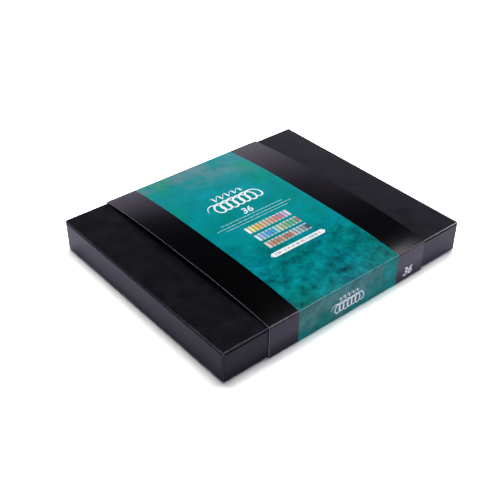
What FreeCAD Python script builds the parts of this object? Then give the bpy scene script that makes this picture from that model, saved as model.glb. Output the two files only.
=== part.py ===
import FreeCAD, Part
import os

from FreeCAD import Vector

# A rigid slide box for artist's pastels, in millimetres.
# A black case, closed on five sides, holds a drawer that slides out of its open end (+X) by a
# ribbon. A printed paperboard band, the sleeve, goes round the middle of the case and slides off
# along it. The origin is under the middle of the case, on the surface that the sleeve stands on.
# The contents set the size: sticks in foam beds, then the drawer round them, then the case.

# The sticks and what they lie in
rows = 3
sticks_per_row = 12
stick_diameter = 15.0
stick_length = 70.0
stick_pitch = 24.1
stick_end_chamfer = 0.7
band_thickness = 0.12  # the paper round each stick
band_length = 27.0
band_from_end = 6.0
band_gap = 0.03
groove_gap = 0.15
foam_under_stick = 5.0
foam_past_stick = 4.35  # at each end of a stick
foam_above_middle = 3.0  # the bed's top over the middle of the sticks
groove_end_gap = 0.4
pad_thickness = 1.5
divider_thickness = 1.6
divider_rise = 1.2  # over the beds
bed_gap = 0.3
bed_end_gap = 1.3
room_over_sticks = 3.4  # up to the drawer's rim

# The drawer
drawer_board = 2.0
drawer_paper = 0.2
drawer_corner = 0.8
drawer_gap_side = 0.5
drawer_gap_top = 0.4
drawer_gap_bottom = 0.3
drawer_gap_back = 0.5
drawer_recess = 0.4  # the drawer's front, behind the mouth's rim

# The pull ribbon, folded double and glued behind the drawer's front
ribbon_width = 14.0
ribbon_thickness = 1.0
ribbon_reach = 12.0
ribbon_rise = 11.0  # its middle, over the drawer's underside
tail_gap = 0.5  # the tail's end, over the pad
slit_gap = 0.05

# The case
case_board = 2.0
case_paper = 0.25
lining_paper = 0.2
edge_radius = 0.9
corner_radius = 2.2
turn_in = 15.0  # how far the outer paper goes into the mouth

# The sleeve
sleeve_width = 199.0
sleeve_shift = -0.6  # its middle, from the middle of the case
sleeve_board = 0.6
sleeve_fold = 1.0
sleeve_gap = 0.5
sleeve_crown = 5.0  # how far its top bows up off the case in the middle
flap_width = 20.0
flap_gap = 0.3

# Worked out: the inside of the drawer
groove_radius = stick_diameter / 2 + band_thickness + groove_gap
bed_depth = stick_length + 2 * foam_past_stick
bed_length = sticks_per_row * stick_pitch
bed_thickness = foam_under_stick + groove_radius + foam_above_middle
row_step = bed_depth + 2 * bed_gap + divider_thickness
inner_length = bed_length + 2 * bed_end_gap
inner_depth = rows * row_step - divider_thickness
inner_height = pad_thickness + foam_under_stick + 2 * groove_radius + room_over_sticks

# Worked out: the drawer round it, and the case round the drawer
drawer_wall = drawer_board + 2 * drawer_paper
drawer_length = inner_length + 2 * drawer_wall
drawer_depth = inner_depth + 2 * drawer_wall
drawer_height = inner_height + drawer_wall
case_wall = case_board + 2 * case_paper
case_back = case_paper + case_board + lining_paper
case_length = case_back + drawer_gap_back + drawer_length + drawer_recess
case_depth = drawer_depth + 2 * (drawer_gap_side + case_wall)
case_height = drawer_height + drawer_gap_bottom + drawer_gap_top + 2 * case_wall

# Worked out: levels over the ground, and places along X
case_bottom = 2 * sleeve_board + flap_gap
case_top = case_bottom + case_height
drawer_bottom = case_bottom + case_wall + drawer_gap_bottom
drawer_floor = drawer_bottom + drawer_wall
drawer_top = drawer_bottom + drawer_height
pad_top = drawer_floor + pad_thickness
stick_level = pad_top + foam_under_stick + groove_radius
ribbon_level = drawer_bottom + ribbon_rise
mouth = case_length / 2
drawer_front = mouth - drawer_recess
drawer_back = drawer_front - drawer_length
inner_front = drawer_front - drawer_wall
inner_back = drawer_back + drawer_wall
drawer_middle = (inner_front + inner_back) / 2


def span_box(x, y, z):
    """A box between two values on each axis."""
    size = [b - a for a, b in (x, y, z)]
    return Part.makeBox(*size, Vector(x[0], y[0], z[0]))


def both(half):
    """A span with its middle at 0."""
    return (-half, half)


def edges_where(shape, test):
    """The straight edges whose two ends both pass the test."""
    return [e for e in shape.Edges if all(test(v.Point) for v in e.Vertexes)]


def export(shape, node):
    """One sub-part to its own file."""
    shape.exportStep(f"parts/{node}.step")


def case_block(inset):
    """The outside of the case, drawn in by a paper's thickness on every side."""
    x = both(case_length / 2 - inset)
    y = both(case_depth / 2 - inset)
    z = (case_bottom + inset, case_top - inset)
    block = span_box(x, y, z)
    posts = [e for e in edges_where(block, lambda p: p.x < 0) if upright(e)]
    block = block.makeFillet(corner_radius - inset, posts)
    rims = [e for e in block.Edges if on_level(e, z) or (upright(e) and e.Vertexes[0].X > 0)]
    return block.makeFillet(edge_radius - inset, rims)


def upright(edge):
    """True for an edge along Z."""
    a, b = (v.Point for v in edge.Vertexes[:2])
    return abs(a.x - b.x) + abs(a.y - b.y) < 1e-6


def on_level(edge, levels):
    """True for an edge that lies in one of the levels."""
    return any(all(abs(v.Z - level) < 1e-6 for v in edge.Vertexes) for level in levels)


# The hollow between the boards: its spans along Y and Z, and where it starts along X
hollow_y = case_depth / 2 - case_paper - case_board
hollow_z = (case_bottom + case_paper + case_board, case_top - case_paper - case_board)
hollow_back = -mouth + case_paper + case_board


def case_hollow(inset, back, front):
    """The hollow of the case from back to front, drawn in by a paper's thickness."""
    z = (hollow_z[0] + inset, hollow_z[1] - inset)
    return span_box((back, front), both(hollow_y - inset), z)


def case_boards():
    """Five boards: the top and bottom cover the others, the sides cover the end."""
    block = case_block(case_paper)
    whole_x = both(mouth)
    whole_y = both(case_depth / 2)
    side = (hollow_y, case_depth / 2)
    spans = {
        "case_top_board": (whole_x, whole_y, (hollow_z[1], case_top)),
        "case_bottom_board": (whole_x, whole_y, (case_bottom, hollow_z[0])),
        "case_front_board": (whole_x, (-side[1], -side[0]), hollow_z),
        "case_rear_board": (whole_x, side, hollow_z),
        "case_end_board": ((-mouth, hollow_back), both(hollow_y), hollow_z),
    }
    return {name: block.common(span_box(*span)) for name, span in spans.items()}


def case_wrap():
    """Black paper over the outside, over the rim and turned in at the mouth."""
    skin = case_block(0).cut(case_block(case_paper))
    opening = case_hollow(case_paper, mouth - turn_in, mouth)
    tongue = case_hollow(0, mouth - turn_in, mouth - case_paper)
    return skin.fuse(tongue).cut(opening).removeSplitter()


def case_lining():
    """Paper on the inside, from the closed end to where the turn-in begins."""
    sheet = case_hollow(0, hollow_back, mouth - turn_in)
    return sheet.cut(case_hollow(lining_paper, hollow_back + lining_paper, mouth - turn_in))


def drawer_block(inset):
    """The outside of the drawer, drawn in by a paper's thickness, with its corners rounded."""
    x = (drawer_back + inset, drawer_front - inset)
    z = (drawer_bottom + inset, drawer_top - inset)
    block = span_box(x, both(drawer_depth / 2 - inset), z)
    low = [e for e in block.Edges if upright(e) or on_level(e, z[:1])]
    return block.makeFillet(drawer_corner - inset, low)


def drawer_hollow(outset):
    """The drawer's clear inside, made larger by a paper's thickness and open at the top."""
    x = (inner_back - outset, inner_front + outset)
    return span_box(x, both(inner_depth / 2 + outset), (drawer_floor - outset, drawer_top))


def ribbon_slit():
    """The slit through the drawer's front that the ribbon passes."""
    half_width = ribbon_width / 2 + slit_gap
    half_height = ribbon_thickness / 2 + slit_gap
    z = (ribbon_level - half_height, ribbon_level + half_height)
    return span_box((inner_front - drawer_paper, mouth), both(half_width), z)


def drawer_boards():
    """Five boards: the bottom is whole, and the front and back cover the sides' ends."""
    block = drawer_block(drawer_paper)
    board_x = (inner_back - drawer_paper, inner_front + drawer_paper)
    board_y = inner_depth / 2 + drawer_paper
    side = (board_y, drawer_depth / 2)
    wall = (drawer_floor - drawer_paper, drawer_top)
    whole_x = (drawer_back, drawer_front)
    whole_y = both(drawer_depth / 2)
    spans = {
        "drawer_bottom_board": (whole_x, whole_y, (drawer_bottom, wall[0])),
        "drawer_front_board": ((board_x[1], drawer_front), whole_y, wall),
        "drawer_back_board": ((drawer_back, board_x[0]), whole_y, wall),
        "drawer_left_board": (board_x, (-side[1], -side[0]), wall),
        "drawer_right_board": (board_x, side, wall),
    }
    boards = {name: block.common(span_box(*span)) for name, span in spans.items()}
    boards["drawer_front_board"] = boards["drawer_front_board"].cut(ribbon_slit())
    return boards


def drawer_wrap():
    """Paper over the drawer's outside and over its rim."""
    skin = drawer_block(0).cut(drawer_block(drawer_paper))
    return skin.cut(drawer_hollow(drawer_paper)).cut(ribbon_slit())


def drawer_lining():
    """Paper over the drawer's inside, up to the rim."""
    return drawer_hollow(drawer_paper).cut(drawer_hollow(0)).cut(ribbon_slit())


def pull_ribbon():
    """A doubled ribbon: a tongue through the slit, and a tail glued down behind the front."""
    half = ribbon_thickness / 2
    tip = drawer_front + ribbon_reach
    back = inner_front - ribbon_thickness
    y = both(ribbon_width / 2)
    tongue = span_box((back, tip), y, (ribbon_level - half, ribbon_level + half))
    rounded = edges_where(tongue, lambda p: abs(p.x - tip) < 1e-6)
    fold = [e for e in rounded if abs(e.Vertexes[0].Z - e.Vertexes[1].Z) < 1e-6]
    tongue = tongue.makeFillet(0.95 * half, fold)
    tail = span_box((back, inner_front), y, (pad_top + tail_gap, ribbon_level))
    return tongue.fuse(tail).removeSplitter()


def row_middle(row):
    """Where a row's sticks have their middle along Y: row 0 is nearest the front."""
    return (row - (rows - 1) / 2) * row_step


def stick_place(column):
    """Where a stick lies along X."""
    return drawer_middle + (column - (sticks_per_row - 1) / 2) * stick_pitch


def rod(radius, length, x, y):
    """A round bar along Y at the sticks' level, with its middle at x, y."""
    return Part.makeCylinder(radius, length, Vector(x, y - length / 2, stick_level), Vector(0, 1, 0))


def base_pad():
    """A thin foam sheet on the drawer's floor."""
    x = (inner_back + bed_gap, inner_front - bed_gap)
    return span_box(x, both(inner_depth / 2 - bed_gap), (drawer_floor, pad_top))


def pastel_bed(row):
    """A foam block with a round-bottomed groove for each stick of the row."""
    x = (drawer_middle - bed_length / 2, drawer_middle + bed_length / 2)
    y = row_middle(row)
    top = pad_top + bed_thickness
    bed = span_box(x, (y - bed_depth / 2, y + bed_depth / 2), (pad_top, top))
    groove_length = stick_length + 2 * groove_end_gap
    grooves = []
    for column in range(sticks_per_row):
        middle = stick_place(column)
        grooves.append(rod(groove_radius, groove_length, middle, y))
        across = (middle - groove_radius, middle + groove_radius)
        along = (y - groove_length / 2, y + groove_length / 2)
        grooves.append(span_box(across, along, (stick_level, top)))
    return bed.cut(grooves).removeSplitter()


def row_divider(gap):
    """A card strip that stands on the pad between two rows."""
    y = (row_middle(gap) + row_middle(gap + 1)) / 2
    x = (inner_back + bed_gap, inner_front - bed_gap)
    across = (y - divider_thickness / 2, y + divider_thickness / 2)
    return span_box(x, across, (pad_top, pad_top + bed_thickness + divider_rise))


def pastel(column, row):
    """One stick, with its ends eased."""
    stick = rod(stick_diameter / 2, stick_length, stick_place(column), row_middle(row))
    rims = [e for e in stick.Edges if isinstance(e.Curve, Part.Circle)]
    return stick.makeChamfer(stick_end_chamfer, rims)


def paper_band(column, row):
    """The paper round a stick, near its front end."""
    x = stick_place(column)
    y = row_middle(row) + (band_length - stick_length) / 2 + band_from_end
    inner = stick_diameter / 2 + band_gap
    outer = stick_diameter / 2 + band_thickness
    return rod(outer, band_length, x, y).cut(rod(inner, band_length, x, y))


def band_profile(y, z, radius):
    """A block as long as the sleeve is wide, with a bowed top and its four folds rounded."""
    x = sleeve_shift - sleeve_width / 2
    corners = [Vector(x, -y, z[1]), Vector(x, -y, z[0]), Vector(x, y, z[0]), Vector(x, y, z[1])]
    bow = Part.Arc(corners[3], Vector(x, 0, z[1] + sleeve_crown), corners[0])
    edges = [Part.makeLine(*pair) for pair in zip(corners, corners[1:])] + [bow.toShape()]
    block = Part.Face(Part.Wire(edges)).extrude(Vector(sleeve_width, 0, 0))
    folds = [e for e in block.Edges if abs(e.Vertexes[0].X - e.Vertexes[1].X) > 1]
    return block.makeFillet(radius, folds)


def sleeve_band():
    """One sheet folded into a tube, with its glue flap inside, under the rear of the case."""
    inner_y = case_depth / 2 + sleeve_gap
    inner_top = case_top + sleeve_gap
    outer = band_profile(inner_y + sleeve_board, (0, inner_top + sleeve_board), sleeve_fold)
    inner = band_profile(inner_y, (sleeve_board, inner_top), sleeve_fold - sleeve_board)
    tube = outer.cut(inner)
    flap_y = (inner_y - flap_width, inner_y + sleeve_board / 2)
    flap_x = (sleeve_shift - sleeve_width / 2, sleeve_shift + sleeve_width / 2)
    flap = span_box(flap_x, flap_y, (sleeve_board / 2, 2 * sleeve_board))
    return tube.fuse(flap).removeSplitter()


def main():
    os.makedirs("parts", exist_ok=True)
    nodes = {}
    nodes.update(case_boards())
    nodes["case_wrap"] = case_wrap()
    nodes["case_lining"] = case_lining()
    nodes.update(drawer_boards())
    nodes["drawer_wrap"] = drawer_wrap()
    nodes["drawer_lining"] = drawer_lining()
    nodes["pull_ribbon"] = pull_ribbon()
    nodes["base_pad"] = base_pad()
    for row in range(rows):
        nodes[f"pastel_bed_{row + 1}"] = pastel_bed(row)
    for gap in range(rows - 1):
        nodes[f"row_divider_{gap + 1}"] = row_divider(gap)
    places = [(column, row) for row in range(rows) for column in range(sticks_per_row)]
    for number, (column, row) in enumerate(places, start=1):
        nodes[f"pastel_{number:02d}"] = pastel(column, row)
    nodes["pastel_bands"] = Part.makeCompound([paper_band(*place) for place in places])
    nodes["sleeve_band"] = sleeve_band()

    for node, shape in nodes.items():
        export(shape, node)
    print(f"{len(nodes)} nodes, case {case_length:.2f} x {case_depth:.2f} x {case_height:.2f} mm")
    for node, shape in nodes.items():
        if not shape.isValid() or (len(shape.Solids) != 1 and node != "pastel_bands"):
            print("check", node, shape.isValid(), len(shape.Solids))


main()
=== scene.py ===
import math
import random

import bmesh
import bpy
from mathutils import Matrix, Vector, noise


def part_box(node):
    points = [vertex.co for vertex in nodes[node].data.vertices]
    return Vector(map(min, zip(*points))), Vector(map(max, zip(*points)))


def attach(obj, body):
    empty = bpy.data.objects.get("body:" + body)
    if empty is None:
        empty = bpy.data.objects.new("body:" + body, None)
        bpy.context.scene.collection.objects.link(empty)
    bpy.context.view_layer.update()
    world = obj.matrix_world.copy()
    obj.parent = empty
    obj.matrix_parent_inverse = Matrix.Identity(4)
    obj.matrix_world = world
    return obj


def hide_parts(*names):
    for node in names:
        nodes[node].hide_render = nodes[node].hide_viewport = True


# A black slide box of artist's pastels, with a printed sleeve of folded board round its middle.
# Everything is in metres, in the frame of the part: +X is the way the drawer slides out, +Z is up.
# The sizes in the pieces' dictionaries are in millimetres, those of the studio in metres.

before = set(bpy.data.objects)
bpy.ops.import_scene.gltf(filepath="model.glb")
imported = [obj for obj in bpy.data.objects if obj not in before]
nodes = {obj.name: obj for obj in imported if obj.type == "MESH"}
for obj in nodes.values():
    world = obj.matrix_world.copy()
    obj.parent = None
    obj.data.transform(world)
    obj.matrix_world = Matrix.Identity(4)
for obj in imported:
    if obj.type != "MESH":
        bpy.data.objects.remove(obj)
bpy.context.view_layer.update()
mm = 0.001
print("frame loaded:", len(nodes), "nodes")


# Small tools

def linearColour(code):
    # an sRGB hex value as linear red, green, blue and alpha
    parts = [int(code[i:i + 2], 16) / 255 for i in (0, 2, 4)]
    return tuple(c / 12.92 if c <= 0.04045 else ((c + 0.055) / 1.055) ** 2.4 for c in parts) + (1.0,)


def setStops(ramp, stops):
    # stops are (position, hex colour) pairs, from low to high
    while len(ramp.elements) < len(stops):
        ramp.elements.new(0.5)
    for element, (position, code) in zip(ramp.elements, stops):
        element.position = position
        element.color = linearColour(code)


def addNode(tree, kind, inputs=(), stops=None, **settings):
    # a node with its settings and what goes into it: plain values, outputs, or whole nodes for
    # their first output. A dictionary names the sockets, a tuple follows the order the node shows
    node = tree.nodes.new("ShaderNode" + kind)
    for name, value in settings.items():
        setattr(node, name, value)
    if stops:
        setStops(node.color_ramp, stops)
    if isinstance(inputs, dict):
        filled = [(node.inputs[name], value) for name, value in inputs.items()]
    else:
        filled = zip([socket for socket in node.inputs if socket.enabled], inputs)
    for socket, value in filled:
        if isinstance(value, bpy.types.Node):
            value = next(output for output in value.outputs if output.enabled)
        if isinstance(value, bpy.types.NodeSocket):
            tree.links.new(value, socket)
        else:
            socket.default_value = value
    return node


def emptyTree(owner):
    # the node tree of a material or a world, without the nodes it comes with
    owner.use_nodes = True
    owner.node_tree.nodes.clear()
    return owner.node_tree


def startMaterial(name):
    # a material, its tree and the Object coordinates
    material = bpy.data.materials.new(name)
    tree = emptyTree(material)
    return material, tree, addNode(tree, "TexCoord").outputs["Object"]


def finishMaterial(material, colour, roughness, normal, ior, gloss=0.5, tint="ffffff"):
    # one Principled shader; gloss and tint are those of its mirrored light
    shader = addNode(material.node_tree, "BsdfPrincipled", {
        "Base Color": colour, "Roughness": roughness, "Normal": normal, "IOR": ior,
        "Specular IOR Level": gloss, "Specular Tint": linearColour(tint)})
    addNode(material.node_tree, "OutputMaterial", (shader,))
    return material


def shaded(tree, colour, pattern, low, high):
    # a colour that a noise pattern darkens to low and lightens to high
    shade = addNode(tree, "MapRange", (pattern, 0.3, 0.7, low, high))
    return addNode(tree, "VectorMath", (colour, shade), operation="SCALE")


def wavePitch(pitch):
    # the Wave texture's scale for bands that repeat every pitch, in the units of its vector
    return math.pi / 10 / pitch


def addObject(name, data):
    thing = bpy.data.objects.new(name, data)
    bpy.context.scene.collection.objects.link(thing)
    return thing


def meshFrom(bm, name, smoothAngle, unit=mm):
    # the finished mesh in metres; unit is what the bmesh was modelled in
    for face in bm.faces:
        face.smooth = True
    bmesh.ops.scale(bm, verts=bm.verts, vec=(unit, unit, unit))
    mesh = bpy.data.meshes.new(name)
    bm.to_mesh(mesh)
    bm.free()
    mesh.set_sharp_from_angle(angle=math.radians(smoothAngle))
    return mesh


def newPiece(name, mesh, body, materials, node=None):
    # a finished piece with its body, its material slot and the node that it stands for
    for material in materials:
        mesh.materials.append(material)
    piece = addObject(name, mesh)
    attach(piece, body)
    if node:
        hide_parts(node)
    return piece


def paintNodes(names, material):
    # the solids that keep their own shape
    for name in names:
        mesh = nodes[name].data
        mesh.materials.clear()
        mesh.materials.append(material)


def drawStrip(bm, path, across):
    # a strip of sheet drawn out along its path; its UV is the place on the flat sheet, in mm
    layer = bm.loops.layers.uv.verify()
    edge = bm.edges.new([bm.verts.new(path[0]), bm.verts.new(path[0] + across)])
    done = 0.0
    for start, stop in zip(path, path[1:]):
        drawn = bmesh.ops.extrude_edge_only(bm, edges=[edge])["geom"]
        moved = [v for v in drawn if isinstance(v, bmesh.types.BMVert)]
        bmesh.ops.translate(bm, verts=moved, vec=stop - start)
        edge = next(e for e in drawn if isinstance(e, bmesh.types.BMEdge) and set(e.verts) == set(moved))
        face = next(f for f in drawn if isinstance(f, bmesh.types.BMFace))
        step = (stop - start).length
        for loop in face.loops:
            origin, along = (stop, done + step) if loop.vert in moved else (start, done)
            loop[layer].uv = ((loop.vert.co - origin).dot(across.normalized()), along)
        done += step
    return done


def roundEdges(bm, edges, reach, segments, clamped=False):
    bmesh.ops.bevel(bm, geom=edges, offset=reach, offset_type="OFFSET", segments=segments, profile=0.5,
                    affect="EDGES", clamp_overlap=clamped, material=-1)


def cutAt(bm, axis, places):
    # new edges where planes across one axis meet the mesh
    normal = Vector((0, 0, 0))
    normal[axis] = 1
    for place in places:
        everything = bm.faces[:] + bm.edges[:] + bm.verts[:]
        bmesh.ops.bisect_plane(bm, geom=everything, plane_co=normal * place, plane_no=normal)


def addThickness(piece, thickness, offset=0):
    wall = piece.modifiers.new("thickness", "SOLIDIFY")
    wall.thickness = thickness * mm
    wall.offset = offset
    return wall


def appliedMesh(thing):
    # an object's mesh with its modifiers, or with a curve or text filled
    bpy.context.view_layer.update()
    return bpy.data.meshes.new_from_object(thing.evaluated_get(bpy.context.evaluated_depsgraph_get()))


# Camera and light

view = {  # angles in degrees, lengths in mm
    "azimuth": -40.268, "elevation": 36.268, "roll": 0.3347,
    "target": (-10.79, 4.80, 1.8), "distance": 890.9, "lens": 63.17, "sensor": 36,
}
studio = {
    # each lamp: its name, where it hangs, its size, its turn in degrees and its power
    "lamps": [
        ("softbox", (0.14, 0.17, 1.3), (0.50, 1.00), 45, 14.5),
        ("rightStrip", (0.68, 0.20, 1.15), (0.44, 0.24), 0, 3.4),
        ("rearStrip", (-0.22, 0.76, 1.15), (0.36, 0.14), 0, 1.5),
        ("cornerPanel", (1.00, 0.38, 1.15), (0.30, 0.20), 0, 0.45),
        ("frontFill", (0.62, -0.50, 0.55), (0.22, 0.22), 0, 0.8),
    ],
    "lampTint": (1.0, 0.99, 1.0),
    # the room from the floor's level up: pale walls, then a dark ceiling
    "walls": [
        (0.0, "ffffff"), (0.26, "f6f6f6"), (0.32, "e8e8e8"), (0.35, "d6d6d6"), (0.38, "bebebe"),
        (0.41, "9c9c9c"), (0.435, "707070"), (0.46, "404040"), (0.50, "222222"), (0.60, "121212"),
    ],
    "glow": (0.90, 0.84, 1.05), "lean": 0.15,
    # parts of the room with their own brightness: their way, the cosines of their rim and core, and
    # the factor. A black flag in front on the right, for the dark line beside the folds' highlight,
    # then a bright wall on the left that fills the front
    "parts": [((0.66, -0.74, 0.12), 0.72, 0.90, 0.06), ((-0.35, -0.93, 0.12), 0.55, 0.95, 3.2)],
    "floorSize": 9.0, "floorAlbedo": 0.92, "floorGain": (2.12, 2.17, 2.05), "fadeReach": (0.60, 1.0),
    # the floor that the box mirrors: its colour, the way across it, and the shade at two places
    "floorGlow": (0.92, 0.88, 1.08), "away": (0.707, 0.707, 0), "shadeReach": (-0.20, 0.04),
    "shades": (0.80, 1.32),
}


def placeCamera():
    turn = Matrix.Rotation(math.radians(view["azimuth"]), 4, "Z")
    tilt = Matrix.Rotation(math.radians(90 - view["elevation"]), 4, "X")
    roll = Matrix.Rotation(math.radians(view["roll"]), 4, "Z")
    back = (turn @ tilt).col[2].to_3d()
    data = bpy.data.cameras.new("camera")
    data.sensor_width = view["sensor"]
    data.lens = view["lens"]
    data.clip_start = 0.01
    camera = addObject("camera", data)
    place = (Vector(view["target"]) + back * view["distance"]) * mm
    camera.matrix_world = Matrix.Translation(place) @ turn @ tilt @ roll
    bpy.context.scene.camera = camera


def hangLamps():
    # one wide softbox over the table, small strips beyond it that the folded edges catch, and a
    # little fill in front; all stay out of the flat top's own reflection
    for name, place, size, turn, power in studio["lamps"]:
        data = bpy.data.lights.new(name, "AREA")
        data.shape = "RECTANGLE"
        data.size, data.size_y = size
        data.energy = power
        data.color = studio["lampTint"]
        lamp = addObject(name, data)
        lamp.location = place
        lamp.rotation_euler = (0, 0, math.radians(turn))


def lightRoom():
    # the box is lit by the room and mirrors it; the camera sees plain white
    world = bpy.data.worlds.new("studio")
    bpy.context.scene.world = world
    tree = emptyTree(world)
    way = addNode(tree, "TexCoord").outputs["Generated"]
    right, _, up = addNode(tree, "SeparateXYZ", (way,)).outputs
    height = addNode(tree, "Math", (right, -studio["lean"], up), operation="MULTIPLY_ADD")
    walls = addNode(tree, "ValToRGB", (height,), stops=studio["walls"])
    room = addNode(tree, "Mix", (1.0, walls, (*studio["glow"], 1)), data_type="RGBA", blend_type="MULTIPLY")
    for part, rim, core, factor in studio["parts"]:
        toward = addNode(tree, "VectorMath", (way, Vector(part).normalized()), operation="DOT_PRODUCT")
        gain = addNode(tree, "MapRange", (toward, rim, core, 1.0, factor), interpolation_type="SMOOTHSTEP")
        room = addNode(tree, "VectorMath", (room, gain), operation="SCALE")
    seen = addNode(tree, "LightPath").outputs["Is Camera Ray"]
    shown = addNode(tree, "Mix", (seen, room, (1, 1, 1, 1)), data_type="RGBA")
    background = addNode(tree, "Background", (shown, 1.0))
    addNode(tree, "OutputWorld", (background,))


def layFloor():
    # a white paper sweep: the camera sees it white with the box's shadow, the box mirrors it darker
    # on the near side, and beyond the shadows it runs into the white backdrop
    material, tree, place = startMaterial("whitePaperSweep")
    seen = addNode(tree, "LightPath").outputs["Is Camera Ray"]
    away = addNode(tree, "VectorMath", (place, studio["away"]), operation="DOT_PRODUCT")
    shade = addNode(tree, "MapRange", (away, *studio["shadeReach"], *studio["shades"]))
    lit = [studio["floorAlbedo"] * c for c in studio["floorGain"]]
    cool = [studio["floorAlbedo"] * c for c in studio["floorGlow"]]
    mirrored = addNode(tree, "VectorMath", (cool, shade), operation="SCALE")
    colour = addNode(tree, "Mix", (seen, mirrored, (*lit, 1)), data_type="RGBA")
    paper = addNode(tree, "BsdfDiffuse", (colour,))
    reach = addNode(tree, "VectorMath", (place,), operation="LENGTH")
    fade = addNode(tree, "MapRange", (reach, *studio["fadeReach"]), interpolation_type="SMOOTHSTEP")
    faded = addNode(tree, "Math", (seen, fade), operation="MULTIPLY")
    backdrop = addNode(tree, "Emission", ((1, 1, 1, 1), 1.0))
    sweep = addNode(tree, "MixShader", (faded, paper, backdrop))
    addNode(tree, "OutputMaterial", (sweep,))
    bm = bmesh.new()
    bmesh.ops.create_grid(bm, x_segments=2, y_segments=2, size=studio["floorSize"] / 2)
    floor = addObject("floor", meshFrom(bm, "floor", 30, unit=1))
    floor.data.materials.append(material)


placeCamera()
hangLamps()
lightRoom()
layFloor()
bpy.context.scene.view_settings.view_transform = "Standard"
print("camera, light and floor set")


# Papers and boards of the case and the drawer

wrap = {
    "colour": "0d0d10", "cloud": "121115", "cloudSize": 18, "roughness": 0.21, "gloss": 0.3,
    "tint": "f6f1ff", "fibre": 0.5, "fibreDepth": 0.008, "ripple": 26, "rippleDepth": 0.05,
    # the fold's reach on each side of an edge, and the ledge's start, end and depth below the top
    "fold": 1.2, "ledge": (0.5, 3.2), "ledgeDepth": 1.3,
    # the pale edges, partly rubbed-off varnish and partly a painted highlight: their colour, width and
    # patches, how far a corner reaches, their share beyond it, and their strength at the rear and at the
    # mouth
    "wearAndHighlight": "c6c4cc", "rim": 1.0, "patch": 7, "cornerReach": 75, "edgeShare": 0.22,
    "caseWearAndHighlight": (0.2, 1.6), "drawerWearAndHighlight": (0.1, 0.3),
}


def wrapPaper(name, node, rearWearAndHighlight, mouthWearAndHighlight):
    # Covering paper: wood-free black paper, calendered and lightly varnished, glued over board.
    # Near black, a soft satin shine that a slight ripple of the glued sheet breaks up, and a paler thread
    # along the folded edges: partly where the varnish has rubbed off, partly a painted highlight.
    low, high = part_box(node)
    material, tree, place = startMaterial(name)
    clouds = addNode(tree, "TexNoise", (place, 1 / (wrap["cloudSize"] * mm), 4.0))
    ground = addNode(tree, "ValToRGB", (clouds,), stops=[(0.35, wrap["colour"]), (0.70, wrap["cloud"])])
    centred = addNode(tree, "VectorMath", (place, (low + high) / 2), operation="SUBTRACT")
    folded = addNode(tree, "VectorMath", (centred,), operation="ABSOLUTE")
    inside = addNode(tree, "VectorMath", ((high - low) / 2, folded), operation="SUBTRACT")
    x, y, z = addNode(tree, "SeparateXYZ", (inside,)).outputs
    # the middle one of the three depths is small only along an edge, the largest only near a corner
    lowXY = addNode(tree, "Math", (x, y), operation="MINIMUM")
    highXY = addNode(tree, "Math", (x, y), operation="MAXIMUM")
    inner = addNode(tree, "Math", (lowXY, z), operation="MAXIMUM")
    second = addNode(tree, "Math", (inner, highXY), operation="MINIMUM")
    third = addNode(tree, "Math", (highXY, z), operation="MAXIMUM")
    corner = addNode(tree, "MapRange", (third, 0.0, wrap["cornerReach"] * mm, 1.0, wrap["edgeShare"]))
    near = addNode(tree, "MapRange", (second, wrap["rim"] * mm, 0.0, 0.0, corner))
    rubs = addNode(tree, "TexNoise", (place, 1 / (wrap["patch"] * mm), 5.0, 0.7))
    patchy = addNode(tree, "MapRange", (rubs, 0.20, 0.55))
    # the pale edges grow stronger towards the open end: more wear there and a brighter painted highlight
    length = addNode(tree, "SeparateXYZ", (place,)).outputs["X"]
    strongerAtMouth = addNode(tree, "MapRange", (length, low.x, high.x, rearWearAndHighlight, mouthWearAndHighlight))
    wearAndHighlight = addNode(tree, "Math", (patchy, strongerAtMouth), operation="MULTIPLY")
    wearAndHighlightShare = addNode(tree, "Math", (near, wearAndHighlight), operation="MULTIPLY", use_clamp=True)
    # the edges are painted pale here: wear and a painted highlight together
    colour = addNode(tree, "Mix", (wearAndHighlightShare, ground, linearColour(wrap["wearAndHighlight"])), data_type="RGBA")
    smooth, dull = wrap["roughness"] - 0.03, wrap["roughness"] + 0.04
    sheen = addNode(tree, "MapRange", (clouds, 0.3, 0.7, smooth, dull))
    # the paper lies round over the board's edges: d - d²/2r up to the fold's reach r
    fold = wrap["fold"] * mm
    close = addNode(tree, "Math", (second, fold), operation="MINIMUM")
    bend = addNode(tree, "Math", (close, -0.5 / fold, 1.0), operation="MULTIPLY_ADD")
    raised = addNode(tree, "Math", (close, bend), operation="MULTIPLY")
    # and over the edge of the top and bottom boards, which stand a little proud of the walls
    start, stop = wrap["ledge"]
    ledge = addNode(tree, "MapRange", (z, start * mm, stop * mm, 0.0, wrap["ledgeDepth"] * mm))
    shape = addNode(tree, "Math", (raised, ledge), operation="ADD")
    rounded = addNode(tree, "Bump", {"Height": shape, "Distance": 1.0})
    ripple = addNode(tree, "TexNoise", (place, 1 / (wrap["ripple"] * mm), 1.0))
    swell = addNode(tree, "Bump", {"Height": ripple, "Distance": wrap["rippleDepth"] * mm,
                                   "Normal": rounded})
    fibres = addNode(tree, "TexNoise", (place, 1 / (wrap["fibre"] * mm), 3.0, 0.6))
    grain = addNode(tree, "Bump", {"Height": fibres, "Distance": wrap["fibreDepth"] * mm, "Normal": swell})
    return finishMaterial(material, colour, sheen, grain, 1.5, wrap["gloss"], wrap["tint"])


lining = {"colour": "121214", "fleck": "1d1d20", "fleckSize": 0.9, "nap": 0.03, "roughness": 0.72}


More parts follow.
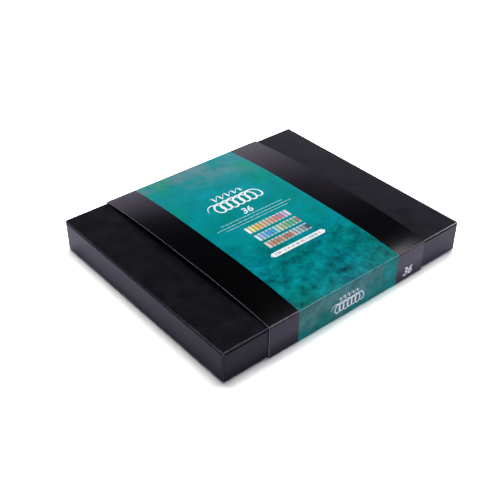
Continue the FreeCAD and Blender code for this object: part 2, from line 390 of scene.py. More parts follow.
def liningPaper():
    # Lining paper: uncoated black paper, dyed in the pulp. Flat and dry, with faint paler flecks.
    material, tree, place = startMaterial("liningPaper")
    flecks = addNode(tree, "TexNoise", (place, 1 / (lining["fleckSize"] * mm), 4.0, 0.75))
    colour = addNode(tree, "ValToRGB", (flecks,), stops=[(0.45, lining["colour"]), (0.72, lining["fleck"])])
    dry = addNode(tree, "MapRange", (flecks, 0, 1, lining["roughness"] - 0.06, lining["roughness"] + 0.08))
    nap = addNode(tree, "Bump", {"Height": flecks, "Distance": lining["nap"] * mm, "Strength": 0.8})
    return finishMaterial(material, colour, dry, nap, 1.45)


board = {
    "colour": "8a857c", "dark": "6e6a63", "fibre": "a39e94", "chip": 1.6, "ply": 0.5, "relief": 0.05,
    "roughness": 0.85,
}


def greyBoard():
    # Greyboard: pressed recycled pulp, 2 mm. Mottled grey-brown chips, and thin plies at a cut edge.
    material, tree, place = startMaterial("greyBoard")
    chips = addNode(tree, "TexNoise", (place, 1 / (board["chip"] * mm), 6.0, 0.7))
    plies = addNode(tree, "TexWave", (place, wavePitch(board["ply"] * mm), 2.5, 2.0), bands_direction="Z")
    colour = addNode(tree, "ValToRGB", (chips,),
                     stops=[(0.35, board["dark"]), (0.52, board["colour"]), (0.70, board["fibre"])])
    both = addNode(tree, "Math", (chips, plies.outputs["Fac"]), operation="ADD")
    rough = addNode(tree, "Bump", {"Height": both, "Distance": board["relief"] * mm, "Strength": 0.7})
    return finishMaterial(material, colour, board["roughness"], rough, 1.45)


card = {"colour": "1a1a1c", "edge": "232326", "fibre": 1.1, "nap": 0.03, "roughness": 0.62}


def dividerCard():
    # Black card, pulp-dyed and calendered: dark charcoal with a faint cloudy fibre.
    material, tree, place = startMaterial("dividerCard")
    fibres = addNode(tree, "TexNoise", (place, 1 / (card["fibre"] * mm), 5.0, 0.7))
    colour = addNode(tree, "ValToRGB", (fibres,), stops=[(0.40, card["colour"]), (0.68, card["edge"])])
    nap = addNode(tree, "Bump", {"Height": fibres, "Distance": card["nap"] * mm, "Strength": 0.7})
    return finishMaterial(material, colour, card["roughness"], nap, 1.45)


paintNodes(["case_wrap"], wrapPaper("caseWrapPaper", "case_wrap", *wrap["caseWearAndHighlight"]))
paintNodes(["drawer_wrap"], wrapPaper("drawerWrapPaper", "drawer_wrap", *wrap["drawerWearAndHighlight"]))
paintNodes(["case_lining", "drawer_lining"], liningPaper())
paintNodes([name for name in nodes if name.endswith("_board")], greyBoard())
paintNodes(["row_divider_1", "row_divider_2"], dividerCard())
print("case and drawer papered")


# The sleeve: one sheet of printed board, folded into a tube, its top bowed up off the case

sleeve = {
    "board": 0.6, "fold": 1.0, "gap": 0.5, "crown": 5.3, "crownPower": 2.8, "wave": 0.10, "waveSize": 55,
    "flap": 19.5, "glue": 0.02, "seam": 0.9, "acrossCuts": 44, "alongCuts": 26,
}
panel = {  # the printed panel: where it starts and ends along the case, and how its mottling comes in
    "left": -65.8, "right": 61.9, "mottleStart": 25, "mottleFull": -48,
}
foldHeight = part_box("case_wrap")[1].z / mm + sleeve["gap"] + sleeve["board"]
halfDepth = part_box("sleeve_band")[1].y / mm


def topHeight(x, y):
    # the height of the sleeve's bowed top in mm, with the slight wave of a thin sheet
    across = min(1, abs(y) / (halfDepth - sleeve["fold"]))
    bow = 1 - across ** sleeve["crownPower"]
    size = sleeve["waveSize"]
    wave = noise.noise(Vector((x / size, y / size, 3.7))) * sleeve["wave"] * min(1, 4 * bow)
    return foldHeight + sleeve["crown"] * bow + wave


def sleeveMesh():
    # drawn from the glued flap up the rear, over the top, down the front and back under the case
    left, right = (corner.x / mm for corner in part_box("sleeve_band"))
    under = sleeve["board"] + sleeve["glue"]
    corners = [(halfDepth - sleeve["flap"], under), (halfDepth, under), (halfDepth, foldHeight),
               (-halfDepth, foldHeight), (-halfDepth, 0), (halfDepth - sleeve["seam"], 0)]
    bm = bmesh.new()
    drawStrip(bm, [Vector((left, *corner)) for corner in corners], Vector((right - left, 0, 0)))
    folds = [e for e in bm.edges if len(e.link_faces) == 2]
    roundEdges(bm, folds, sleeve["fold"], 5)
    bmesh.ops.recalc_face_normals(bm, faces=bm.faces)
    top = max(bm.faces, key=lambda f: f.calc_center_median().z)
    if top.normal.z < 0:
        bmesh.ops.reverse_faces(bm, faces=bm.faces)
    flat = halfDepth - sleeve["fold"]
    across, along = sleeve["acrossCuts"], sleeve["alongCuts"]
    # closer together towards the folds
    cutAt(bm, 1, [flat * math.sin((i / across - 0.5) * math.pi) for i in range(1, across)])
    cutAt(bm, 0, [left + (right - left) * i / along for i in range(1, along)])
    cutAt(bm, 0, [panel["left"], panel["right"]])
    for face in bm.faces:
        if panel["left"] < face.calc_center_median().x < panel["right"]:
            face.material_index = 1
    for vert in bm.verts:
        if vert.co.z > foldHeight - 1.5 * sleeve["fold"]:
            vert.co.z += topHeight(vert.co.x, vert.co.y) - foldHeight
    return meshFrom(bm, "sleeve", 60)


ink = {
    "tint": "f9f1ff", "peel": 0.7, "peelDepth": 0.003,
    # the margins and the panel, each with its gloss, its roughness and the pale colour of its folds, partly
    # cracked ink and partly a painted highlight
    "margin": (0.62, 0.11, "7f7d86"), "panel": (0.06, 0.20, "8fabaa"),
    "black": "010101", "smoke": "030304", "smokeSize": 50,
    # the pale cracked ink, partly a painted highlight, reaches from the first place to the second, below
    # and beside a fold; the score is bent in from the first height under the fold to the second
    "cracked": (0.8, 0.4), "crackSize": 3, "score": (0.6, 2.4), "scoreDepth": 0.4,
    "core": "b9b7bd", "coreFibre": 0.5, "inside": "3c3b3f", "insideFibre": 0.9, "rawNap": 0.03,
    "rawRoughness": 0.8,
}
wash = {  # the panel's painted wash; each cloud is its size, detail, roughness, low, high, offset and swirl
    "ground": (38, 5.0, 0.55, 0, 1, 0.0, 0.5),
    "teal": [(0.30, "00827b"), (0.45, "008889"), (0.60, "008c94"), (0.74, "00919e")],
    # later layers: colour, cloud, and where along y they start and are full; the grey one at the back is
    # partly a painted sheen
    "layers": [("02906f", (34, 4.0, 0.55, 0.52, 0.68, 0.31, 0.4), (10, 90)),
               ("66868f", (46, 4.0, 0.55, 0.46, 0.70, 0.77, 0.5), (62, 120))],
    "border": (30, 3.0, 0.5, 0, 1, 0.12), "borderWidth": 80,
    # the mottling and the specks, each with its darkest and lightest tone
    "blots": (9.5, 6.0, 0.66, 0.32, 0.66, 0.05, 0.25), "pools": (24, 3.0, 0.5, 0.30, 0.70, 0.4),
    "poolShare": 0.35, "mottleTones": (0.02, 1.20), "calmShare": 0.22,
    "specks": (2.6, 3.0, 0.7, 0.25, 0.75), "speckTones": (0.90, 1.08),
    # the folded-down end, in full from so far under the fold
    "sideClouds": (34, 3.0, 0.5, 0, 1, 0.57), "sideStart": 3, "sideShare": 0.60, "sideCalm": 0.45,
    "side": [(0.38, "6a9a8c"), (0.50, "2f9078"), (0.62, "00a08c")],
}


def cloud(tree, place, size, detail, roughness, low, high, offset=0.0, swirl=0.0):
    # a soft noise pattern from 0 to 1; size in mm
    moved = addNode(tree, "VectorMath", (place, (offset, offset, offset)), operation="ADD")
    pattern = addNode(tree, "TexNoise", {"Vector": moved, "Scale": 1 / (size * mm), "Detail": detail,
                                         "Roughness": roughness, "Distortion": swirl})
    return addNode(tree, "MapRange", (pattern, low, high))


def washColour(tree, place):
    # layers of thinned paint: teal, greener patches, grey clouds at the back that are partly a painted
    # sheen, dark mottling at the front
    _, y, z = addNode(tree, "SeparateXYZ", (place,)).outputs
    painted = addNode(tree, "ValToRGB", (cloud(tree, place, *wash["ground"]),), stops=wash["teal"])
    for code, patches, (start, stop) in wash["layers"]:
        reach = addNode(tree, "MapRange", (y, start * mm, stop * mm), interpolation_type="SMOOTHSTEP")
        share = addNode(tree, "Math", (cloud(tree, place, *patches), reach), operation="MULTIPLY")
        painted = addNode(tree, "Mix", (share, painted, linearColour(code)), data_type="RGBA")
    # the mottling fades out over an uneven border, and a little of it is left everywhere
    border = cloud(tree, place, *wash["border"])
    uneven = addNode(tree, "Math", (border, wash["borderWidth"] * mm, y), operation="MULTIPLY_ADD")
    start, stop = panel["mottleStart"] * mm, panel["mottleFull"] * mm
    front = addNode(tree, "MapRange", (uneven, start, stop, wash["calmShare"], 1.0),
                    interpolation_type="SMOOTHSTEP")
    blots, pools = (cloud(tree, place, *wash[name]) for name in ("blots", "pools"))
    mottle = addNode(tree, "Mix", (wash["poolShare"], blots, pools))
    depth = addNode(tree, "MapRange", (mottle, 0, 1, *wash["mottleTones"]))
    tone = addNode(tree, "Mix", (front, 1.0, depth))
    # the folded-down end is calmer, and greyer in colour: partly its print, partly a painted reflection of
    # the floor
    below = addNode(tree, "MapRange", (z, foldHeight * mm, (foldHeight - wash["sideStart"]) * mm))
    calm = addNode(tree, "Math", (below, wash["sideCalm"]), operation="MULTIPLY")
    calmed = addNode(tree, "Mix", (calm, tone, 1.0))
    fine = addNode(tree, "MapRange", (cloud(tree, place, *wash["specks"]), 0, 1, *wash["speckTones"]))
    speckled = addNode(tree, "Math", (calmed, fine), operation="MULTIPLY")
    # painted reflection: the folded-down faces take a greyer colour, in part for the floor's sheen on them
    sidePrintAndSheen = addNode(tree, "Math", (below, wash["sideShare"]), operation="MULTIPLY")
    side = addNode(tree, "ValToRGB", (cloud(tree, place, *wash["sideClouds"]),), stops=wash["side"])
    painted = addNode(tree, "Mix", (sidePrintAndSheen, painted, side), data_type="RGBA")
    return addNode(tree, "VectorMath", (painted, speckled), operation="SCALE")


def marginColour(tree, place):
    smoke = addNode(tree, "TexNoise", (place, 1 / (ink["smokeSize"] * mm), 3.0))
    return addNode(tree, "ValToRGB", (smoke,), stops=[(0.35, ink["black"]), (0.70, ink["smoke"])])


def printedBoard(name, paint, gloss, roughness, bareAndHighlight):
    # Folding boxboard, offset printed and film-laminated. The black margins are deep and smooth and
    # mirror the room softly. The panel between them is a printed watercolour wash, clouded over
    # about 35 mm and mottled over about 10 mm towards the front, with a duller shine.
    material, tree, place = startMaterial(name)
    printed = paint(tree, place)
    # the ink cracks in a thin broken line along each fold, painted pale: bare board and a painted highlight
    _, y, z = addNode(tree, "SeparateXYZ", (place,)).outputs
    start, stop = ink["cracked"]
    side = addNode(tree, "Math", (y,), operation="ABSOLUTE")
    outer = addNode(tree, "MapRange", (side, (halfDepth - start) * mm, (halfDepth - stop) * mm))
    upper = addNode(tree, "MapRange", (z, (foldHeight - start) * mm, (foldHeight - stop) * mm))
    fold = addNode(tree, "Math", (outer, upper), operation="MULTIPLY")
    cracks = addNode(tree, "TexNoise", (place, 1 / (ink["crackSize"] * mm), 6.0, 0.8))
    broken = addNode(tree, "MapRange", (cracks, 0.34, 0.60))
    creaseAndHighlight = addNode(tree, "Math", (fold, broken), operation="MULTIPLY")
    colour = addNode(tree, "Mix", (creaseAndHighlight, printed, linearColour(bareAndHighlight)), data_type="RGBA")
    peel = addNode(tree, "TexNoise", (place, 1 / (ink["peel"] * mm), 2.0))
    shine = addNode(tree, "MapRange", (peel, 0.3, 0.7, roughness - 0.02, roughness + 0.03))
    # scoring leaves the board bent in a little below each fold
    start, stop = ink["score"]
    scored = addNode(tree, "MapRange", (z, (foldHeight - start) * mm, (foldHeight - stop) * mm, 0.0,
                                        ink["scoreDepth"] * mm))
    bent = addNode(tree, "Bump", {"Height": scored, "Distance": 1.0})
    skin = addNode(tree, "Bump", {"Height": peel, "Distance": ink["peelDepth"] * mm, "Normal": bent})
    return finishMaterial(material, colour, shine, skin, 1.5, gloss, ink["tint"])


def rawBoard(name, code, size):
    # The unprinted side and the cut edge of the boxboard: bare pulp, dark on the inside and pale at
    # the cut, dry, with short fibres.
    material, tree, place = startMaterial(name)
    fibres = addNode(tree, "TexNoise", (place, 1 / (size * mm), 5.0, 0.7))
    colour = shaded(tree, linearColour(code)[:3], fibres, 0.75, 1.25)
    nap = addNode(tree, "Bump", {"Height": fibres, "Distance": ink["rawNap"] * mm, "Strength": 0.7})
    return finishMaterial(material, colour, ink["rawRoughness"], nap, 1.45)


sleeveCore = rawBoard("boardCore", ink["core"], ink["coreFibre"])
sleevePiece = newPiece("sleeve", sleeveMesh(), "sleeve", [
    printedBoard("printedBoardBlack", marginColour, *ink["margin"]),
    printedBoard("printedBoardWash", washColour, *ink["panel"]),
    rawBoard("boardInside", ink["inside"], ink["insideFibre"]), sleeveCore, sleeveCore], "sleeve_band")
# the sheet's raw inside and cut edges take the materials that follow the printed ones
wall = addThickness(sleevePiece, sleeve["board"], offset=-1)
wall.use_even_offset = True
wall.material_offset = 2
wall.material_offset_rim = 3
sleeveThick = appliedMesh(sleevePiece)
sleevePiece.modifiers.clear()
sleevePiece.data = sleeveThick
sleeveThick.set_sharp_from_angle(angle=math.radians(60))
print("sleeve folded")


# The print on the sleeve: thin layers of ink, laid on the bowed top or on the front

layout = {
    "inkDepth": 0.05, "lift": 0.035, "grain": 0.6, "grainDepth": 0.004, "roughness": 0.45,
    # the bars: the middle of the rows, how many a row has, their pitch and width, the colour of
    # their ends and how far these show, and each row's place and depth
    "middle": -1.8, "perRow": 12, "barPitch": 4.58, "barWidth": 3.3, "barEnd": "B2CACC",
    "endDepth": 3.4, "endShift": 0.3, "rows": [(-11.6, 11.2), (-26.6, 11.2), (-41.2, 10.6)],
    # the label's place, size and point, and its marks: their margin, widths, depths, gaps and share
    "label": (-2.2, -56.6, 69.4, 6.5), "labelPoint": 0.45, "markMargin": 6, "markWidths": (0.6, 1.3),
    "markDepths": (2.0, 3.6), "markGaps": (0.35, 0.6), "markShare": 0.88,
    # the hairlines: left, right and y of each, the dashes' height, lengths and gaps
    "lines": [(-43, 36, 9.6), (-52, 43, 4.9), (-44, 35, 0.6)], "dashHeight": 0.75, "dashes": (1.2, 5.5),
    "dashGaps": (0.7, 1.1),
    # the numerals' places and heights, the font's own height, their lean and weight
    "topNumber": (-4.6, 13.4, 9.6), "sideNumber": (77.4, 6.0, 9.4), "fontHeight": 0.73, "lean": 0.22,
    "weight": 0.022,
    # each row of loops and each wave: its place, width, height, count and half width
    "topLoops": (-1.8, 37.2, 70, 16.5, 7, 0.95), "topWave": (-1.8, 53.0, 42, 8.5, 5, 0.95),
    "sideLoops": (-3.2, 13.2, 45, 10.5, 7, 0.6), "sideWave": (-3.2, 22.8, 27, 4.6, 5, 0.6),
}
stickColours = [
    "F4F0E2", "F0DC6C", "E8BE34", "E3A63C", "D9AE7A", "CFA68A",
    "D79A72", "DC8664", "D8686A", "C86A86", "C6A0C0", "DCCDE8",
    "BFE2E8", "A6A8D8", "62ACE0", "3A8FD4", "2F9CCB", "9CCBD0",
    "C2C9A2", "A4B27C", "7FA468", "4FA07C", "62A88A", "A27058",
    "DBCBB8", "C9845E", "C07A48", "B87252", "C28C68", "A8624A",
    "B45C4A", "CBA594", "96AEB2", "98A1A2", "7C8489", "2B3134",
]


def inkMaterial(name, code=None):
    # Offset ink over a white underprint: even and dull, with the faint grain of the board. Without
    # a colour of its own it takes the one on the mesh.
    material, tree, place = startMaterial(name)
    grain = addNode(tree, "TexNoise", (place, 1 / (layout["grain"] * mm), 3.0))
    if code:
        source = linearColour(code)[:3]
    else:
        source = addNode(tree, "VertexColor", layer_name="inkColour")
    colour = shaded(tree, source, grain, 0.93, 1.0)
    rough = addNode(tree, "Bump", {"Height": grain, "Distance": layout["grainDepth"] * mm})
    return finishMaterial(material, colour, layout["roughness"], rough, 1.5)


def addPatch(bm, x, y, width, depth, code=None, layer=0):
    # one rectangle of ink with its colour on its corners; a second layer lies on the first
    thick = layout["inkDepth"]
    place = Matrix.Translation((x, y, layer * thick)) @ Matrix.Diagonal((width, depth, thick, 1))
    made = bmesh.ops.create_cube(bm, size=1, matrix=place)["verts"]
    if code:
        colours = bm.loops.layers.float_color
        painted = colours.get("inkColour") or colours.new("inkColour")
        for face in {f for v in made for f in v.link_faces}:
            for loop in face.loops:
                loop[painted] = linearColour(code)


def inkPiece(name, bm, material, onFront=False):
    # the flat print goes onto the bowed top, or onto the front, where up the print becomes Z
    lift, half = layout["lift"], layout["inkDepth"] / 2
    for vert in bm.verts:
        x, y, z = vert.co
        if onFront:
            vert.co = (x, -halfDepth - z - lift + half, y)
        else:
            vert.co.z += topHeight(x, y) + lift - half
    newPiece(name, meshFrom(bm, name, 30), "sleeve", [material])


def colourBars():
    # one bar for each stick, its colour laid over a pale ground that shows at both ends
    bm = bmesh.new()
    for number, code in enumerate(stickColours):
        row, column = divmod(number, layout["perRow"])
        y, depth = layout["rows"][row]
        x = layout["middle"] + (column - (layout["perRow"] - 1) / 2) * layout["barPitch"]
        addPatch(bm, x, y, layout["barWidth"], depth, layout["barEnd"])
        addPatch(bm, x, y - layout["endShift"], layout["barWidth"], depth - layout["endDepth"], code, 1)
    return bm


def labelBand():
    # a white band with pointed ends
    x, y, width, depth = layout["label"]
    bm = bmesh.new()
    bmesh.ops.create_cone(bm, cap_ends=True, segments=6, radius1=1, radius2=1, depth=layout["inkDepth"],
                          matrix=Matrix.Rotation(math.radians(90), 4, "Z"))
    for vert in bm.verts:
        end = abs(vert.co.x) > 0.9
        vert.co.x = math.copysign(width / 2 - (0 if end else depth * layout["labelPoint"]), vert.co.x)
        vert.co.y = 0 if end else math.copysign(depth / 2, vert.co.y)
    bmesh.ops.translate(bm, verts=bm.verts, vec=(x, y, 0))
    return bm


def labelTicks():
    # small marks in the sticks' colours along the white band
    rand = random.Random(5)
    x, y, width, _ = layout["label"]
    bm = bmesh.new()
    at = -width / 2 + layout["markMargin"]
    while at < width / 2 - layout["markMargin"]:
        step = rand.uniform(*layout["markWidths"])
        if rand.random() < layout["markShare"]:
            tall = rand.uniform(*layout["markDepths"])
            addPatch(bm, x + at, y, step, tall, rand.choice(stickColours[1:]), 1)
        at += step + rand.uniform(*layout["markGaps"])
    return bm


def brokenLines():
    # three broken hairlines
    rand = random.Random(11)
    bm = bmesh.new()
    for left, right, y in layout["lines"]:
        at = left
        while at < right:
            step = min(rand.uniform(*layout["dashes"]), right - at)
            addPatch(bm, at + step / 2, y, step, layout["dashHeight"])
            at += step + rand.uniform(*layout["dashGaps"])
    return bm


def filledMesh(data):
    # a curve or text as a bmesh; its object is there only to fill it
    carrier = addObject(data.name, data)
    mesh = appliedMesh(carrier)
    bpy.data.objects.remove(carrier)
    bm = bmesh.new()
    bm.from_mesh(mesh)
    bpy.data.meshes.remove(mesh)
    return bm


def numberMesh(x, y, height):
    # plain numerals, leaning a little
    data = bpy.data.curves.new("number", "FONT")
    data.body = str(len(stickColours))
    data.size = height / layout["fontHeight"]
    data.shear = layout["lean"]
    data.offset = layout["weight"] * height
    data.align_x = "CENTER"
    data.extrude = layout["inkDepth"] / 2
    bm = filledMesh(data)
    bmesh.ops.remove_doubles(bm, verts=bm.verts, dist=0.001)
    bmesh.ops.recalc_face_normals(bm, faces=bm.faces)
    bmesh.ops.translate(bm, verts=bm.verts, vec=(x, y, 0))
    return bm


stroke = {  # shares of a row's height, width or thickness, and points in each turn
    "loopHalf": 0.42, "loopSwell": 0.06, "loopPress": (0.82, 0.30), "loopTaper": (14, 0.25),
    "waveSlant": 0.16, "waveFade": 0.35, "wavePress": (0.35, 0.75), "waveTaper": (10, 0.2),
    "loopSteps": 26, "waveSteps": 24,
}


def tapered(t, steepness, least):
    # how a stroke's two ends thin out
    return min(1, steepness * t + least, steepness * (1 - t) + least)


def loopPoint(t, width, height, turns):
    # an open row of round loops, as a hand draws to try a stick of chalk
    angle = t * turns * 2 * math.pi
    half = height * stroke["loopHalf"]
    x = -width / 2 + half + (width - 2 * half) * t - half * math.cos(angle)
    y = height * 0.5 * (1 + stroke["loopSwell"] * math.sin(angle * 0.37 + 1)) * math.sin(angle)
    light, more = stroke["loopPress"]
    return x, y, (light + more * abs(math.sin(angle + 0.5))) * tapered(t, *stroke["loopTaper"])


def wavePoint(t, width, height, turns):
    # a lighter wavy flourish, thick on its down strokes
    angle = t * turns * 2 * math.pi
    x = -width / 2 + width * t + stroke["waveSlant"] * height * math.sin(angle)
    y = height * 0.5 * (1 - stroke["waveFade"] * t) * math.sin(angle + 0.4)
    light, more = stroke["wavePress"]
    return x, y, (light + more * max(0, -math.cos(angle + 0.4))) * tapered(t, *stroke["waveTaper"])


def strokeMesh(pointAt, steps, middleX, middleY, width, height, turns, half):
    # a chalk-like stroke, thicker where the hand presses, flattened to ink
    data = bpy.data.curves.new("stroke", "CURVE")
    data.dimensions = "3D"
    data.bevel_depth = 1
    data.bevel_resolution = 2
    data.use_fill_caps = True
    line = data.splines.new("POLY")
    last = steps * turns
    line.points.add(last)
    for i, point in enumerate(line.points):
        x, y, press = pointAt(i / last, width, height, turns)
        point.co = (x, y, 0, 1)
        point.radius = half * press
    bm = filledMesh(data)
    bmesh.ops.scale(bm, verts=bm.verts, vec=(1, 1, layout["inkDepth"] / 2))
    bmesh.ops.translate(bm, verts=bm.verts, vec=(middleX, middleY, 0))
    return bm


whiteInk = inkMaterial("whiteInk", "E0EEF1")
sideInk = inkMaterial("sideInk", "F2FBF6")
barInk = inkMaterial("barInk")
inkPiece("colourBars", colourBars(), barInk)
inkPiece("labelBand", labelBand(), whiteInk)
inkPiece("labelTicks", labelTicks(), barInk)
inkPiece("brokenLines", brokenLines(), inkMaterial("fadedInk", "A9D3D2"))
for face, material, onFront in (("top", whiteInk, False), ("side", sideInk, True)):
    inkPiece(face + "Number", numberMesh(*layout[face + "Number"]), material, onFront)
    loops = strokeMesh(loopPoint, stroke["loopSteps"], *layout[face + "Loops"])
    wave = strokeMesh(wavePoint, stroke["waveSteps"], *layout[face + "Wave"])
    inkPiece(face + "Loops", loops, material, onFront)
    inkPiece(face + "Wave", wave, material, onFront)
print("sleeve printed")


# Foam: the pad under the sticks and the three grooved beds

foam = {
    "pore": "161618", "colour": "2b2b2e", "skin": "3a3a3e", "roughness": 0.95,
    "cell": 0.9, "cellDepth": 0.35, "patch": 9, "softEdge": 0.48,
}


def foamMaterial():
    # Polyurethane foam, cut from the block: open cells about 0.9 mm, drawn a little coarse so that
    # they show. Dark charcoal, without shine.
    material, tree, place = startMaterial("polyurethaneFoam")
    cells = addNode(tree, "TexVoronoi", (place, 1 / (foam["cell"] * mm)), feature="F1")
    cellColour = addNode(tree, "ValToRGB", (cells,),
                         stops=[(0.10, foam["pore"]), (0.45, foam["colour"]), (0.80, foam["skin"])])
    patches = addNode(tree, "TexNoise", (place, 1 / (foam["patch"] * mm), 3.0))
    colour = shaded(tree, cellColour, patches, 0.85, 1.12)
    pits = addNode(tree, "Bump", {"Height": cells, "Distance": foam["cellDepth"] * mm, "Strength": 0.9})
    return finishMaterial(material, colour, foam["roughness"], pits, 1.4)


def softFoam(name, node, material):
    # the node's own shape, with its cut edges rounded
    bm = bmesh.new()
    bm.from_mesh(nodes[node].data)
    bmesh.ops.remove_doubles(bm, verts=bm.verts, dist=1e-6)
    bmesh.ops.dissolve_limit(bm, angle_limit=math.radians(0.5), verts=bm.verts, edges=bm.edges)
    sharp = [e for e in bm.edges if len(e.link_faces) == 2 and e.calc_face_angle(0) > math.radians(35)]
    roundEdges(bm, sharp, foam["softEdge"] * mm, 3, clamped=True)
    bmesh.ops.recalc_face_normals(bm, faces=bm.faces)
    piece = newPiece(name, meshFrom(bm, name, 50, unit=1), "drawer", [material], node)


foamPaint = foamMaterial()
softFoam("basePad", "base_pad", foamPaint)
for row in (1, 2, 3):
    softFoam(f"pastelBed_{row}", f"pastel_bed_{row}", foamPaint)
print("foam cut")


# The sticks and their paper bands

chalk = {
    "softEnd": 0.9, "wornMore": (0.8, 1.3), "sides": 32, "rings": 9, "dent": 0.07, "dentSize": 6,
    "grain": 0.45, "grainDepth": 0.10,
    "streak": 5.0, "stretch": 0.25, "dust": "efedeb", "dustShare": 0.24, "roughness": 0.93,
}
stickNodes = [f"pastel_{number:02d}" for number in range(1, len(stickColours) + 1)]


def chalkMaterial(name, code):
    # Soft pastel: pigment and chalk pressed into a round stick. Powdery and without shine, a fine
    # grain about 0.45 mm, paler where the powder has rubbed.
    material, tree, place = startMaterial(name)
    grain = addNode(tree, "TexNoise", (place, 1 / (chalk["grain"] * mm), 4.0, 0.7))
    tone = shaded(tree, linearColour(code)[:3], grain, 0.82, 1.05)
    drawn = addNode(tree, "Mapping", {"Vector": place, "Scale": (1, chalk["stretch"], 1)})
    rubs = addNode(tree, "TexNoise", (drawn, 1 / (chalk["streak"] * mm), 4.0, 0.65))
    share = chalk["dustShare"] * (0.3 + 0.7 * max(linearColour(code)[:3]))  # a dark stick takes less of it
    dusty = addNode(tree, "MapRange", (rubs, 0.50, 0.72, 0.0, share))
    colour = addNode(tree, "Mix", (dusty, tone, linearColour(chalk["dust"])), data_type="RGBA")
    powder = addNode(tree, "Bump", {"Height": grain, "Distance": chalk["grainDepth"] * mm, "Strength": 0.8})
    return finishMaterial(material, colour, chalk["roughness"], powder, 1.4)


def chalkStick(number, node, code):
    # a round stick with worn ends, slightly uneven from the press
    low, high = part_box(node)
    middle, size = (low + high) / 2, high - low
    radius = size.x / 2
    rand = random.Random(100 + number)
    bm = bmesh.new()
    lie = Matrix.Translation(middle) @ Matrix.Rotation(math.radians(90), 4, "X")
    bmesh.ops.create_cone(bm, cap_ends=True, segments=chalk["sides"], radius1=radius, radius2=radius,
                          depth=size.y, matrix=lie)
    ends = [e for e in bm.edges if any(len(f.verts) > 4 for f in e.link_faces)]
    roundEdges(bm, ends, chalk["softEnd"] * mm * rand.uniform(*chalk["wornMore"]), 3)
    cutAt(bm, 1, [low.y + size.y * i / chalk["rings"] for i in range(1, chalk["rings"])])
    for vert in bm.verts:
        out = Vector((vert.co.x - middle.x, 0, vert.co.z - middle.z))
        if out.length > 0.5 * radius:
            dent = noise.noise(vert.co / (chalk["dentSize"] * mm) + Vector((0, 0, number)))
            vert.co -= out.normalized() * chalk["dent"] * mm * (0.5 + 0.5 * dent)
    bmesh.ops.recalc_face_normals(bm, faces=bm.faces)
    name = f"stick_{number:02d}"
    paint = chalkMaterial(f"softPastel_{number:02d}", code)
    newPiece(name, meshFrom(bm, name, 35, unit=1), "drawer", [paint], node)


band = {
    "paper": "F2EEE4", "line": "8f8b84", "fibre": 0.6, "nap": 0.02, "roughness": 0.7,
    "length": 27.0, "thickness": 0.11,
    # clearances round the stick and under the lap; in degrees, where a band begins and how far it laps
    "clear": 0.03, "lapClear": 0.02, "begin": (50, 110), "lap": 14, "rule": 0.45, "ruleFromEdge": 2.0,
}


def bandPaper():
    # Label paper: uncoated white wood-free paper, with a thin grey rule printed near each edge.
    material, tree, place = startMaterial("labelPaper")
    half = band["length"] / 2
    across = addNode(tree, "SeparateXYZ", (addNode(tree, "TexCoord").outputs["UV"],)).outputs["X"]
    centred = addNode(tree, "Math", (across, half), operation="SUBTRACT")
    mirrored = addNode(tree, "Math", (centred,), operation="ABSOLUTE")
    offRule = addNode(tree, "Math", (mirrored, half - band["ruleFromEdge"]), operation="SUBTRACT")
    distance = addNode(tree, "Math", (offRule,), operation="ABSOLUTE")
    rule = addNode(tree, "MapRange", (distance, band["rule"] / 2 + 0.05, band["rule"] / 2))
    fibres = addNode(tree, "TexNoise", (place, 1 / (band["fibre"] * mm), 4.0))
    paper = shaded(tree, linearColour(band["paper"])[:3], fibres, 0.92, 1.0)
    colour = addNode(tree, "Mix", (rule, paper, linearColour(band["line"])), data_type="RGBA")
    nap = addNode(tree, "Bump", {"Height": fibres, "Distance": band["nap"] * mm, "Strength": 0.6})
    return finishMaterial(material, colour, band["roughness"], nap, 1.45)


def bandMesh():
    # each band is a strip of paper wound once round its stick, its end lapped and glued near the top
    rand = random.Random(36)
    fromEnd = (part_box("pastel_bands")[0].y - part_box(stickNodes[0])[0].y) / mm
    bm = bmesh.new()
    for node in stickNodes:
        low, high = (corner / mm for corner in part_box(node))
        middle = (low + high) / 2
        radius = (high.x - low.x) / 2 + band["clear"] + band["thickness"] / 2
        begin = rand.uniform(*band["begin"])
        path = []
        for step in range(0, 361 + band["lap"], 6):
            # the last 30 degrees before the lap climb over the beginning
            lifted = min(1, max(0, (step - 330) / 30)) * (band["thickness"] + band["lapClear"])
            angle = math.radians(begin + step)
            path.append(Vector((middle.x + (radius + lifted) * math.cos(angle), low.y + fromEnd,
                                middle.z + (radius + lifted) * math.sin(angle))))
        drawStrip(bm, path, Vector((0, band["length"], 0)))
    return meshFrom(bm, "paperBands", 50)


for number, (node, code) in enumerate(zip(stickNodes, stickColours), start=1):
    chalkStick(number, node, code)
bands = newPiece("paperBands", bandMesh(), "drawer", [bandPaper()], "pastel_bands")
addThickness(bands, band["thickness"])
print("sticks laid")


# The pull ribbon: folded double, its two ends glued down behind the drawer's front

ribbon = {
    "colour": "17171a", "rib": "2c2c30", "roughness": 0.5, "width": 14.0, "thickness": 0.38,
    "ribPitch": 0.55, "warpPitch": 0.32, "ribDepth": 0.12, "selvedge": 0.9,
    # the two layers: half their distance in the slit, where each lies behind the front, their bends
    # into it, and how far above the node's bottom the tails end
    "spread": 0.24, "layers": (0.21, 0.63), "bend": 0.7, "tailGap": 0.1,
    # the loop: its level under the node's top, where it leaves the slit, its nose's radius, clearance
    # and half turn in degrees, how far it droops, from where and over what length, and its flare
    "level": 0.5, "leave": 4.5, "nose": 1.2, "noseGap": 0.15, "noseTurn": 100, "droop": 0.3,
    "droopFrom": 3, "droopOver": 12, "flareSteps": 9, "flarePower": 1.6,
}


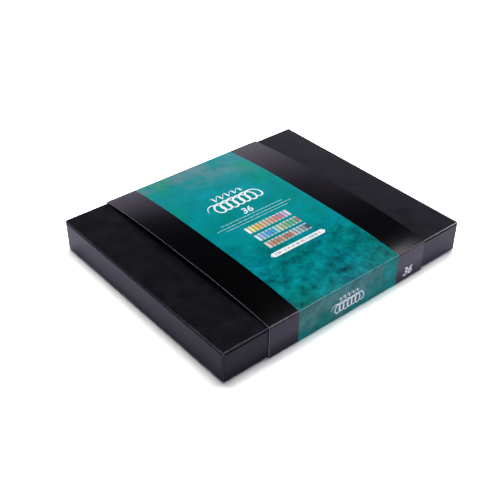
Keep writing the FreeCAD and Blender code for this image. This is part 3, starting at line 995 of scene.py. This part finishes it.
def wovenRibbon():
    # Grosgrain: black polyester, ribs every 0.55 mm across the ribbon, and a tight selvedge
    # 0.9 mm wide along each side. A little shine on the ribs, none between them.
    material, tree, _ = startMaterial("grosgrainRibbon")
    flat = addNode(tree, "TexCoord").outputs["UV"]
    ribs = addNode(tree, "TexWave", (flat, wavePitch(ribbon["ribPitch"]), 0.4), bands_direction="Y")
    warp = addNode(tree, "TexWave", (flat, wavePitch(ribbon["warpPitch"]), 0.6), bands_direction="X")
    across = addNode(tree, "SeparateXYZ", (flat,)).outputs["X"]
    centred = addNode(tree, "Math", (across, ribbon["width"] / 2), operation="SUBTRACT")
    outward = addNode(tree, "Math", (centred,), operation="ABSOLUTE")
    inner = ribbon["width"] / 2 - ribbon["selvedge"]
    body = addNode(tree, "MapRange", (outward, inner, inner - 0.2))
    height = addNode(tree, "Mix", (body, warp.outputs["Fac"], ribs.outputs["Fac"]))
    colour = addNode(tree, "ValToRGB", (height,), stops=[(0.2, ribbon["colour"]), (0.9, ribbon["rib"])])
    shine = addNode(tree, "MapRange", (height, 0, 1, ribbon["roughness"] + 0.25, ribbon["roughness"]))
    weave = addNode(tree, "Bump", {"Height": height, "Distance": ribbon["ribDepth"] * mm})
    return finishMaterial(material, colour, shine, weave, 1.5)


def bendPoints(x, z, radius, start, stop, steps=6):
    # points round a bend, as x and z, from one angle to another in degrees
    angles = [math.radians(start + (stop - start) * i / steps) for i in range(steps + 1)]
    return [(x + radius * math.cos(a), z + radius * math.sin(a)) for a in angles]


def ribbonMesh():
    # up behind the front, out through the slit, round the loop's nose and back the same way
    low, high = (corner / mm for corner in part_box("pull_ribbon"))
    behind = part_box("drawer_lining")[1].x / mm
    spread, bend, nose, turn = (ribbon[key] for key in ("spread", "bend", "nose", "noseTurn"))
    outer, inner = (behind - depth for depth in ribbon["layers"])
    level, tailEnd = high.z - ribbon["level"], low.z + ribbon["tailGap"]
    leave, centre = behind + ribbon["leave"], high.x - nose - ribbon["noseGap"]
    noseX, noseZ = nose * math.cos(math.radians(turn)), nose * math.sin(math.radians(turn))
    flare = []
    for i in range(ribbon["flareSteps"]):
        u = i / ribbon["flareSteps"]
        opened = spread + (noseZ - spread) * u ** ribbon["flarePower"]
        flare.append((leave + (centre + noseX - leave) * u, opened))
    path = [(outer, tailEnd)] + bendPoints(outer + bend, level - spread - bend, bend, 180, 90)
    path += [(x, level - z) for x, z in flare]
    path += bendPoints(centre, level, nose, -turn, turn, 14)
    path += [(x, level + z) for x, z in reversed(flare)]
    path += bendPoints(inner + bend, level + spread - bend, bend, 90, 180) + [(inner, tailEnd)]
    # outside the front it droops, more and more towards the nose
    points = []
    for x, z in path:
        out = max(0, (x - behind - ribbon["droopFrom"]) / ribbon["droopOver"])
        points.append(Vector((x, low.y, z - ribbon["droop"] * out ** 2)))
    bm = bmesh.new()
    length = drawStrip(bm, points, Vector((0, high.y - low.y, 0)))
    return meshFrom(bm, "pullRibbon", 80), length


ribbonShape, ribbonLength = ribbonMesh()
pull = newPiece("pullRibbon", ribbonShape, "drawer", [wovenRibbon()], "pull_ribbon")
addThickness(pull, ribbon["thickness"])
print("ribbon folded, its length", round(ribbonLength, 1))
